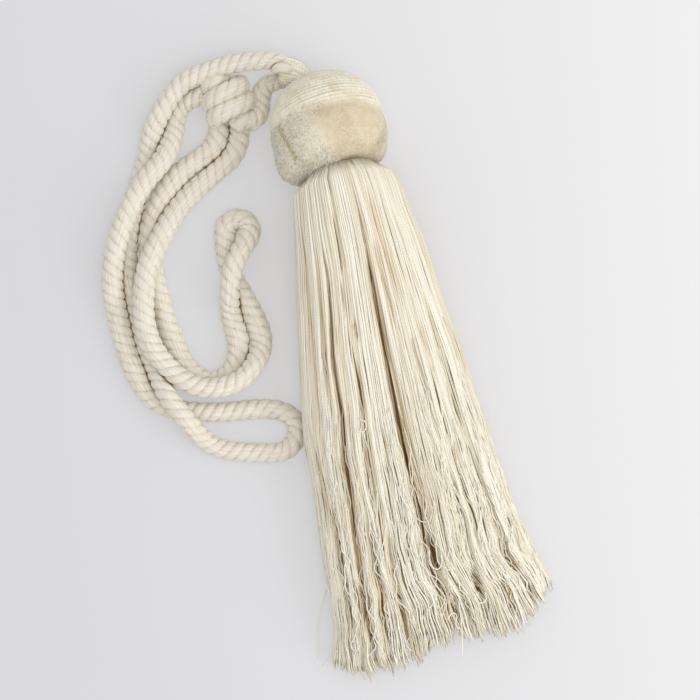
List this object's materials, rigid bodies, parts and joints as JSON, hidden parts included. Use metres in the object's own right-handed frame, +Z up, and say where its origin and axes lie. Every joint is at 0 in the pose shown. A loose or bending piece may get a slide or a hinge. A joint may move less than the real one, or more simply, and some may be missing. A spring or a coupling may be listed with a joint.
{
  "type": "curtain tieback tassel",
  "caption": "Curtain tieback of cream twisted cotton rope, knotted into two loops, with a pile-covered ball and a long thread skirt, lying flat.",
  "frame": {"origin": "on the surface, under the middle of the tassel's own box (ball, neck loop and skirt, without the rope and its knot)", "axes": "+Z up from the surface, +Y along the tassel from the skirt's ends to the ball and its neck loop, -X towards the rope loops"},
  "size_m": [0.2173, 0.3698, 0.0683],
  "materials": {
    "cotton_rope": "matt twisted cotton rope, four strands of soft yarn",
    "cut_pile": "cut pile with a soft sheen, cream to pale tan",
    "thread_wrap": "fine glossy threads laid side by side",
    "rayon_yarn": "long fine rayon threads with a silky sheen"
  },
  "bodies": {
    "root": {"head": "cut_pile", "neck_loop": "thread_wrap", "skirt": "rayon_yarn", "knot": "cotton_rope", "rope_long": "cotton_rope", "rope_short": "cotton_rope"}
  },
  "joints": []
}
